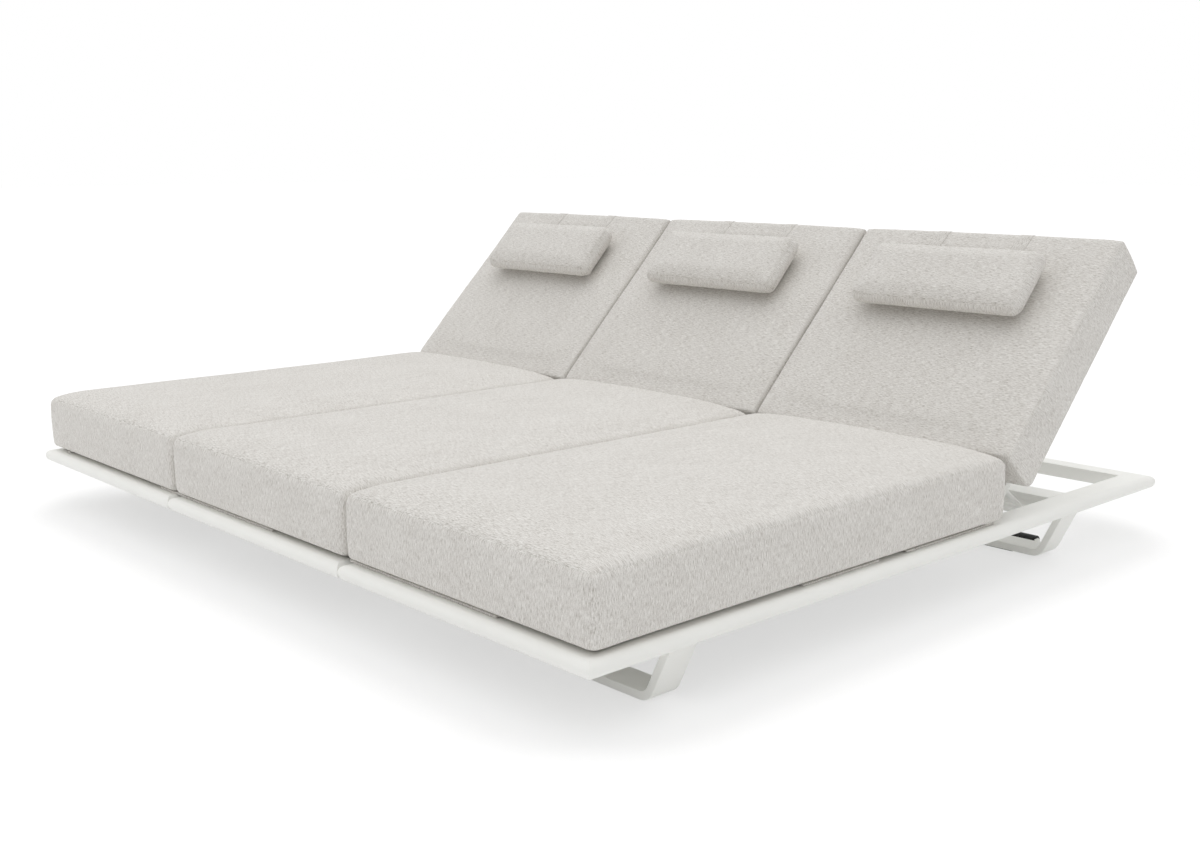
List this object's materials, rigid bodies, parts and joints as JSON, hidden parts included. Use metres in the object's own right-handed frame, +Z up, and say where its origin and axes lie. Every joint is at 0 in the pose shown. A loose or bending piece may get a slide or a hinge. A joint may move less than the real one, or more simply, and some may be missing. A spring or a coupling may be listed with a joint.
{
  "type": "sun lounger",
  "caption": "Low triple sun lounger: wide flat rail frame on sled feet, boxed seat cushions, tilting backs with loose cushions and strapped head pillows.",
  "frame": {"origin": "on the floor, under the middle of the overall width and length", "axes": "+X across to the right seen from the foot end, +Y from the foot end to the head end, +Z up"},
  "size_m": [2.399, 2.08, 0.8021],
  "materials": {
    "frame_coat": "satin powder coat, warm off-white",
    "cushion_fabric": "woven outdoor fabric, light warm grey melange",
    "tape_fabric": "flat tape of the cushion's fabric",
    "glide_plastic": "moulded, matt dark grey",
    "roller_rubber": "moulded, matt black",
    "pin_steel": "turned stainless steel"
  },
  "bodies": {
    "frame": {"left_side_rail_left": "frame_coat", "left_side_rail_right": "frame_coat", "left_foot_rail": "frame_coat", "left_head_rail": "frame_coat", "left_front_cross_member": "frame_coat", "left_rear_cross_member": "frame_coat", "left_front_foot": "frame_coat", "left_rear_foot": "frame_coat", "left_seat_deck": "frame_coat", "left_seat_cushion": "cushion_fabric", "middle_side_rail_left": "frame_coat", "middle_side_rail_right": "frame_coat", "middle_foot_rail": "frame_coat", "middle_head_rail": "frame_coat", "middle_front_cross_member": "frame_coat", "middle_rear_cross_member": "frame_coat", "middle_front_foot": "frame_coat", "middle_rear_foot": "frame_coat", "middle_seat_deck": "frame_coat", "middle_seat_cushion": "cushion_fabric", "right_side_rail_left": "frame_coat", "right_side_rail_right": "frame_coat", "right_foot_rail": "frame_coat", "right_head_rail": "frame_coat", "right_front_cross_member": "frame_coat", "right_rear_cross_member": "frame_coat", "right_front_foot": "frame_coat", "right_rear_foot": "frame_coat", "right_seat_deck": "frame_coat", "right_seat_cushion": "cushion_fabric", "foot_glides": "glide_plastic", "roller_brackets": "frame_coat", "hinge_lugs": "frame_coat", "hinge_pins": "pin_steel", "lug_screws": "pin_steel", "stay_racks": "frame_coat", "link_plates": "frame_coat", "link_bolts": "pin_steel"},
    "left_backrest": {"left_back_frame": "frame_coat"},
    "left_stay": {"left_prop_stay": "frame_coat"},
    "left_back_pad": {"left_back_cushion": "cushion_fabric", "left_pillow_tapes": "tape_fabric"},
    "left_head_pad": {"left_pillow": "cushion_fabric"},
    "left_wheel_left": {"left_roller_left": "roller_rubber"},
    "left_wheel_right": {"left_roller_right": "roller_rubber"},
    "middle_backrest": {"middle_back_frame": "frame_coat"},
    "middle_stay": {"middle_prop_stay": "frame_coat"},
    "middle_back_pad": {"middle_back_cushion": "cushion_fabric", "middle_pillow_tapes": "tape_fabric"},
    "middle_head_pad": {"middle_pillow": "cushion_fabric"},
    "middle_wheel_left": {"middle_roller_left": "roller_rubber"},
    "middle_wheel_right": {"middle_roller_right": "roller_rubber"},
    "right_backrest": {"right_back_frame": "frame_coat"},
    "right_stay": {"right_prop_stay": "frame_coat"},
    "right_back_pad": {"right_back_cushion": "cushion_fabric", "right_pillow_tapes": "tape_fabric"},
    "right_head_pad": {"right_pillow": "cushion_fabric"},
    "right_wheel_left": {"right_roller_left": "roller_rubber"},
    "right_wheel_right": {"right_roller_right": "roller_rubber"}
  },
  "joints": [
    {"name": "left_back_hinge", "type": "hinge", "parent": "frame", "child": "left_backrest", "pos_m": [-0.8, 0.372, 0.169], "axis": [1, 0, 0], "range_deg": [-46.5, 13.5]},
    {"name": "left_stay_hinge", "type": "hinge", "parent": "left_backrest", "child": "left_stay", "pos_m": [-0.8, 0.42363, 0.2234], "axis": [1, 0, 0], "range_deg": [-21, 70.5]},
    {"name": "left_cushion_slide", "type": "slide", "parent": "left_backrest", "child": "left_back_pad", "axis": [0, 0.6884, 0.7254], "range_m": [-0.1311, 0.0382]},
    {"name": "left_pillow_slide", "type": "slide", "parent": "left_back_pad", "child": "left_head_pad", "axis": [0, 0.6884, 0.7254], "range_m": [-0.04, 0.04]},
    {"name": "left_roller_left_spin", "type": "hinge", "parent": "frame", "child": "left_wheel_left", "pos_m": [-1.018, 0.68647, 0.016], "axis": [1, 0, 0], "continuous": true},
    {"name": "left_roller_right_spin", "type": "hinge", "parent": "frame", "child": "left_wheel_right", "pos_m": [-0.582, 0.68647, 0.016], "axis": [1, 0, 0], "continuous": true},
    {"name": "middle_back_hinge", "type": "hinge", "parent": "frame", "child": "middle_backrest", "pos_m": [0, 0.372, 0.169], "axis": [1, 0, 0], "range_deg": [-46.5, 13.5]},
    {"name": "middle_stay_hinge", "type": "hinge", "parent": "middle_backrest", "child": "middle_stay", "pos_m": [0, 0.42363, 0.2234], "axis": [1, 0, 0], "range_deg": [-21, 70.5]},
    {"name": "middle_cushion_slide", "type": "slide", "parent": "middle_backrest", "child": "middle_back_pad", "axis": [0, 0.6884, 0.7254], "range_m": [-0.1311, 0.0382]},
    {"name": "middle_pillow_slide", "type": "slide", "parent": "middle_back_pad", "child": "middle_head_pad", "axis": [0, 0.6884, 0.7254], "range_m": [-0.04, 0.04]},
    {"name": "middle_roller_left_spin", "type": "hinge", "parent": "frame", "child": "middle_wheel_left", "pos_m": [-0.218, 0.68647, 0.016], "axis": [1, 0, 0], "continuous": true},
    {"name": "middle_roller_right_spin", "type": "hinge", "parent": "frame", "child": "middle_wheel_right", "pos_m": [0.218, 0.68647, 0.016], "axis": [1, 0, 0], "continuous": true},
    {"name": "right_back_hinge", "type": "hinge", "parent": "frame", "child": "right_backrest", "pos_m": [0.8, 0.372, 0.169], "axis": [1, 0, 0], "range_deg": [-46.5, 13.5]},
    {"name": "right_stay_hinge", "type": "hinge", "parent": "right_backrest", "child": "right_stay", "pos_m": [0.8, 0.42363, 0.2234], "axis": [1, 0, 0], "range_deg": [-21, 70.5]},
    {"name": "right_cushion_slide", "type": "slide", "parent": "right_backrest", "child": "right_back_pad", "axis": [0, 0.6884, 0.7254], "range_m": [-0.1311, 0.0382]},
    {"name": "right_pillow_slide", "type": "slide", "parent": "right_back_pad", "child": "right_head_pad", "axis": [0, 0.6884, 0.7254], "range_m": [-0.04, 0.04]},
    {"name": "right_roller_left_spin", "type": "hinge", "parent": "frame", "child": "right_wheel_left", "pos_m": [0.582, 0.68647, 0.016], "axis": [1, 0, 0], "continuous": true},
    {"name": "right_roller_right_spin", "type": "hinge", "parent": "frame", "child": "right_wheel_right", "pos_m": [1.018, 0.68647, 0.016], "axis": [1, 0, 0], "continuous": true}
  ],
  "couplings": [
    {"joint": "left_stay_hinge", "follows": "left_back_hinge", "ratio": -1.5038},
    {"joint": "left_cushion_slide", "follows": "left_back_hinge", "m_per_rad": 0.16141},
    {"joint": "middle_stay_hinge", "follows": "middle_back_hinge", "ratio": -1.5038},
    {"joint": "middle_cushion_slide", "follows": "middle_back_hinge", "m_per_rad": 0.16141},
    {"joint": "right_stay_hinge", "follows": "right_back_hinge", "ratio": -1.5038},
    {"joint": "right_cushion_slide", "follows": "right_back_hinge", "m_per_rad": 0.16141}
  ]
}
